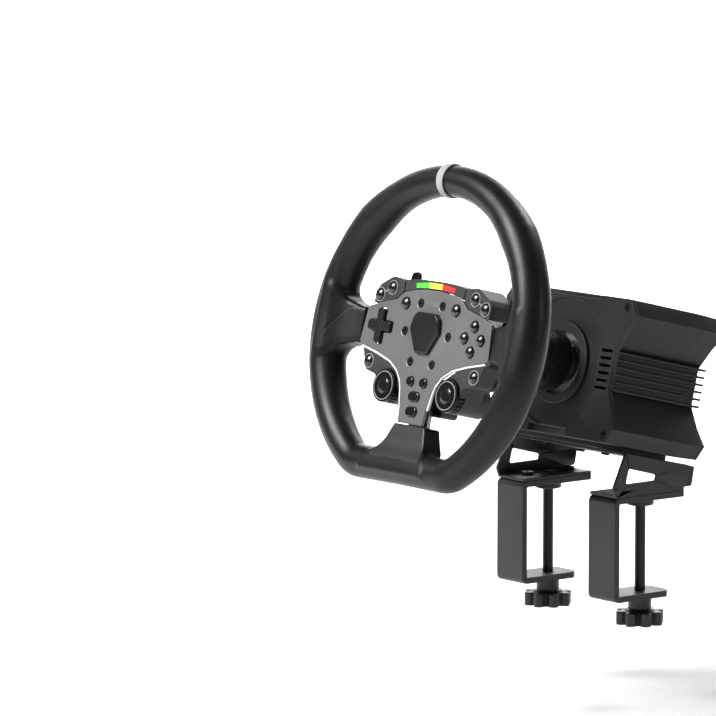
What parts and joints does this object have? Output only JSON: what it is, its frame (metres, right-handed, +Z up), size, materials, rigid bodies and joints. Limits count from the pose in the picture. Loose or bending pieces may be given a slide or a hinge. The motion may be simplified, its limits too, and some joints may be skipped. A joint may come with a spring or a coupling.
{
  "type": "racing wheel",
  "caption": "Flat-bottomed racing wheel with buttons and dials on a direct drive motor base, held to a desk edge by two screw clamps.",
  "frame": {"origin": "mid-plane of the object, on the line where the clamp straps' upper arms (undersides, Z = 0) meet their upright plates (inner faces, Y = 0): the top front edge of the desk it is clamped to", "axes": "+X to the driver's right, +Y away from the driver over the desk, +Z up"},
  "size_m": [0.2884, 0.2975, 0.3904],
  "materials": {
    "leather_black": "soft sheen black leather",
    "marker_cloth": "pale stitched band",
    "face_metal": "satin gunmetal",
    "pod_plastic": "fine textured dark plastic",
    "badge_plastic": "satin dark plastic",
    "gloss_black": "glossy black",
    "trim_white": "satin white",
    "led_lens": "milky coloured lens",
    "steel": "machined steel",
    "black_steel": "black oxide",
    "bearing_steel": "ground steel",
    "base_shell": "fine matte black coat",
    "bracket_steel": "fine textured powder coat",
    "board_green": "solder mask",
    "motor_metal": "cast",
    "magnet": "nickel plate",
    "knob_plastic": "ribbed nylon",
    "anodised": "black anodised"
  },
  "bodies": {
    "base": {"base_housing": "base_shell", "front_cover": "base_shell", "collar_ring": "base_shell", "rear_cover": "base_shell", "mounting_bracket": "bracket_steel", "housing_screws": "black_steel", "clamp_strap_left": "bracket_steel", "clamp_strap_right": "bracket_steel", "motor_stator": "motor_metal", "shaft_bearings": "bearing_steel", "controller_board": "board_green"},
    "shaft": {"drive_shaft": "steel", "rotor_magnets": "magnet"},
    "wheel": {"wheel_frame": "steel", "rim_grip": "leather_black", "centre_marker": "marker_cloth", "face_plate": "face_metal", "badge": "badge_plastic", "face_screws": "black_steel", "top_pods": "pod_plastic", "lower_pods": "pod_plastic", "trim_strips": "trim_white", "led_lenses": "led_lens", "rear_housing": "pod_plastic", "wheel_board": "board_green", "spoke_covers": "leather_black", "bottom_spoke_cover": "face_metal", "qr_hub": "anodised"},
    "sleeve": {"qr_sleeve": "anodised"},
    "paddle_left": {"paddle_left": "anodised"},
    "paddle_right": {"paddle_right": "anodised"},
    "gimbal": {"dpad_gimbal": "knob_plastic"},
    "dpad": {"dpad": "badge_plastic"},
    "face_button_left": {"face_button_left": "gloss_black"},
    "face_button_right": {"face_button_right": "gloss_black"},
    "action_button_top": {"action_button_top": "gloss_black"},
    "action_button_left": {"action_button_left": "gloss_black"},
    "action_button_right": {"action_button_right": "gloss_black"},
    "action_button_bottom": {"action_button_bottom": "gloss_black"},
    "pod_button_left_outer": {"pod_button_left_outer": "gloss_black"},
    "pod_button_left_inner": {"pod_button_left_inner": "gloss_black"},
    "lower_button_left": {"lower_button_left": "gloss_black"},
    "pod_button_right_outer": {"pod_button_right_outer": "gloss_black"},
    "pod_button_right_inner": {"pod_button_right_inner": "gloss_black"},
    "lower_button_right": {"lower_button_right": "gloss_black"},
    "centre_key_left": {"centre_key_left": "gloss_black"},
    "centre_key_right": {"centre_key_right": "gloss_black"},
    "centre_key_middle": {"centre_key_middle": "gloss_black"},
    "centre_key_lower": {"centre_key_lower": "gloss_black"},
    "dial_left": {"dial_left": "pod_plastic"},
    "dial_cap_left": {"dial_cap_left": "gloss_black"},
    "dial_right": {"dial_right": "pod_plastic"},
    "dial_cap_right": {"dial_cap_right": "gloss_black"},
    "power_button": {"power_button": "gloss_black"},
    "clamp_pad_left": {"clamp_pad_left": "knob_plastic"},
    "clamp_screw_left": {"clamp_screw_left": "black_steel", "clamp_knob_left": "knob_plastic"},
    "clamp_pad_right": {"clamp_pad_right": "knob_plastic"},
    "clamp_screw_right": {"clamp_screw_right": "black_steel", "clamp_knob_right": "knob_plastic"}
  },
  "joints": [
    {"name": "shaft_spin", "type": "hinge", "parent": "base", "child": "shaft", "pos_m": [0, 0.00073, 0.11127], "axis": [0, 0.9715, -0.2368], "continuous": true},
    {"name": "wheel_release", "type": "slide", "parent": "shaft", "child": "wheel", "axis": [0, -0.9715, 0.2368], "range_m": [0, 0.06]},
    {"name": "sleeve_pull", "type": "slide", "parent": "wheel", "child": "sleeve", "axis": [0, -0.9715, 0.2368], "range_m": [0, 0.006], "stiffness_N_per_m": 900, "springref_m": -0.004},
    {"name": "paddle_left_pull", "type": "hinge", "parent": "wheel", "child": "paddle_left", "pos_m": [-0.037, -0.11245, 0.13887], "axis": [0, 0.2368, 0.9715], "range_deg": [0, 4], "stiffness_Nm_per_rad": 1.5, "springref_deg": -8.59},
    {"name": "paddle_right_pull", "type": "hinge", "parent": "wheel", "child": "paddle_right", "pos_m": [0.037, -0.11245, 0.13887], "axis": [0, -0.2368, -0.9715], "range_deg": [0, 4], "stiffness_Nm_per_rad": 1.5, "springref_deg": -8.59},
    {"name": "dpad_tilt_updown", "type": "hinge", "parent": "wheel", "child": "gimbal", "pos_m": [-0.0598, -0.13952, 0.14649], "axis": [1, 0, 0], "range_deg": [-4, 4], "stiffness_Nm_per_rad": 0.3},
    {"name": "dpad_tilt_leftright", "type": "hinge", "parent": "gimbal", "child": "dpad", "pos_m": [-0.0598, -0.13952, 0.14649], "axis": [0, 0.2368, 0.9715], "range_deg": [-4, 4], "stiffness_Nm_per_rad": 0.3},
    {"name": "face_button_left_press", "type": "slide", "parent": "wheel", "child": "face_button_left", "axis": [0, 0.9715, -0.2368], "range_m": [0, 0.0012], "stiffness_N_per_m": 600, "springref_m": -0.0012},
    {"name": "face_button_right_press", "type": "slide", "parent": "wheel", "child": "face_button_right", "axis": [0, 0.9715, -0.2368], "range_m": [0, 0.0012], "stiffness_N_per_m": 600, "springref_m": -0.0012},
    {"name": "action_button_top_press", "type": "slide", "parent": "wheel", "child": "action_button_top", "axis": [0, 0.9715, -0.2368], "range_m": [0, 0.0012], "stiffness_N_per_m": 600, "springref_m": -0.0012},
    {"name": "action_button_left_press", "type": "slide", "parent": "wheel", "child": "action_button_left", "axis": [0, 0.9715, -0.2368], "range_m": [0, 0.0012], "stiffness_N_per_m": 600, "springref_m": -0.0012},
    {"name": "action_button_right_press", "type": "slide", "parent": "wheel", "child": "action_button_right", "axis": [0, 0.9715, -0.2368], "range_m": [0, 0.0012], "stiffness_N_per_m": 600, "springref_m": -0.0012},
    {"name": "action_button_bottom_press", "type": "slide", "parent": "wheel", "child": "action_button_bottom", "axis": [0, 0.9715, -0.2368], "range_m": [0, 0.0012], "stiffness_N_per_m": 600, "springref_m": -0.0012},
    {"name": "pod_button_left_outer_press", "type": "slide", "parent": "wheel", "child": "pod_button_left_outer", "axis": [0, 0.9715, -0.2368], "range_m": [0, 0.0012], "stiffness_N_per_m": 600, "springref_m": -0.0012},
    {"name": "pod_button_left_inner_press", "type": "slide", "parent": "wheel", "child": "pod_button_left_inner", "axis": [0, 0.9715, -0.2368], "range_m": [0, 0.0012], "stiffness_N_per_m": 600, "springref_m": -0.0012},
    {"name": "lower_button_left_press", "type": "slide", "parent": "wheel", "child": "lower_button_left", "axis": [0, 0.9715, -0.2368], "range_m": [0, 0.0012], "stiffness_N_per_m": 600, "springref_m": -0.0012},
    {"name": "pod_button_right_outer_press", "type": "slide", "parent": "wheel", "child": "pod_button_right_outer", "axis": [0, 0.9715, -0.2368], "range_m": [0, 0.0012], "stiffness_N_per_m": 600, "springref_m": -0.0012},
    {"name": "pod_button_right_inner_press", "type": "slide", "parent": "wheel", "child": "pod_button_right_inner", "axis": [0, 0.9715, -0.2368], "range_m": [0, 0.0012], "stiffness_N_per_m": 600, "springref_m": -0.0012},
    {"name": "lower_button_right_press", "type": "slide", "parent": "wheel", "child": "lower_button_right", "axis": [0, 0.9715, -0.2368], "range_m": [0, 0.0012], "stiffness_N_per_m": 600, "springref_m": -0.0012},
    {"name": "centre_key_left_press", "type": "slide", "parent": "wheel", "child": "centre_key_left", "axis": [0, 0.9715, -0.2368], "range_m": [0, 0.0008], "stiffness_N_per_m": 600, "springref_m": -0.0012},
    {"name": "centre_key_right_press", "type": "slide", "parent": "wheel", "child": "centre_key_right", "axis": [0, 0.9715, -0.2368], "range_m": [0, 0.0008], "stiffness_N_per_m": 600, "springref_m": -0.0012},
    {"name": "centre_key_middle_press", "type": "slide", "parent": "wheel", "child": "centre_key_middle", "axis": [0, 0.9715, -0.2368], "range_m": [0, 0.0008], "stiffness_N_per_m": 600, "springref_m": -0.0012},
    {"name": "centre_key_lower_press", "type": "slide", "parent": "wheel", "child": "centre_key_lower", "axis": [0, 0.9715, -0.2368], "range_m": [0, 0.0008], "stiffness_N_per_m": 600, "springref_m": -0.0012},
    {"name": "dial_left_turn", "type": "hinge", "parent": "wheel", "child": "dial_left", "pos_m": [-0.041, -0.15236, 0.0997], "axis": [0, 0.9715, -0.2368], "continuous": true},
    {"name": "dial_cap_left_press", "type": "slide", "parent": "dial_left", "child": "dial_cap_left", "axis": [0, 0.9715, -0.2368], "range_m": [0, 0.0008], "stiffness_N_per_m": 600, "springref_m": -0.0012},
    {"name": "dial_right_turn", "type": "hinge", "parent": "wheel", "child": "dial_right", "pos_m": [0.041, -0.15236, 0.0997], "axis": [0, 0.9715, -0.2368], "continuous": true},
    {"name": "dial_cap_right_press", "type": "slide", "parent": "dial_right", "child": "dial_cap_right", "axis": [0, 0.9715, -0.2368], "range_m": [0, 0.0008], "stiffness_N_per_m": 600, "springref_m": -0.0012},
    {"name": "power_press", "type": "slide", "parent": "base", "child": "power_button", "axis": [0, -0.9715, 0.2368], "range_m": [0, 0.0012], "stiffness_N_per_m": 600, "springref_m": -0.0012},
    {"name": "clamp_left_open", "type": "slide", "parent": "base", "child": "clamp_pad_left", "axis": [0, 0, -1], "range_m": [0, 0.06]},
    {"name": "clamp_left_turn", "type": "hinge", "parent": "clamp_pad_left", "child": "clamp_screw_left", "pos_m": [-0.0599, 0.0372, -0.05], "axis": [0, 0, 1], "range_deg": [0, 10800]},
    {"name": "clamp_right_open", "type": "slide", "parent": "base", "child": "clamp_pad_right", "axis": [0, 0, -1], "range_m": [0, 0.06]},
    {"name": "clamp_right_turn", "type": "hinge", "parent": "clamp_pad_right", "child": "clamp_screw_right", "pos_m": [0.0599, 0.0372, -0.05], "axis": [0, 0, 1], "range_deg": [0, 10800]}
  ],
  "couplings": [
    {"joint": "clamp_left_turn", "follows": "clamp_left_open", "rad_per_m": 3141.6},
    {"joint": "clamp_right_turn", "follows": "clamp_right_open", "rad_per_m": 3141.6}
  ]
}
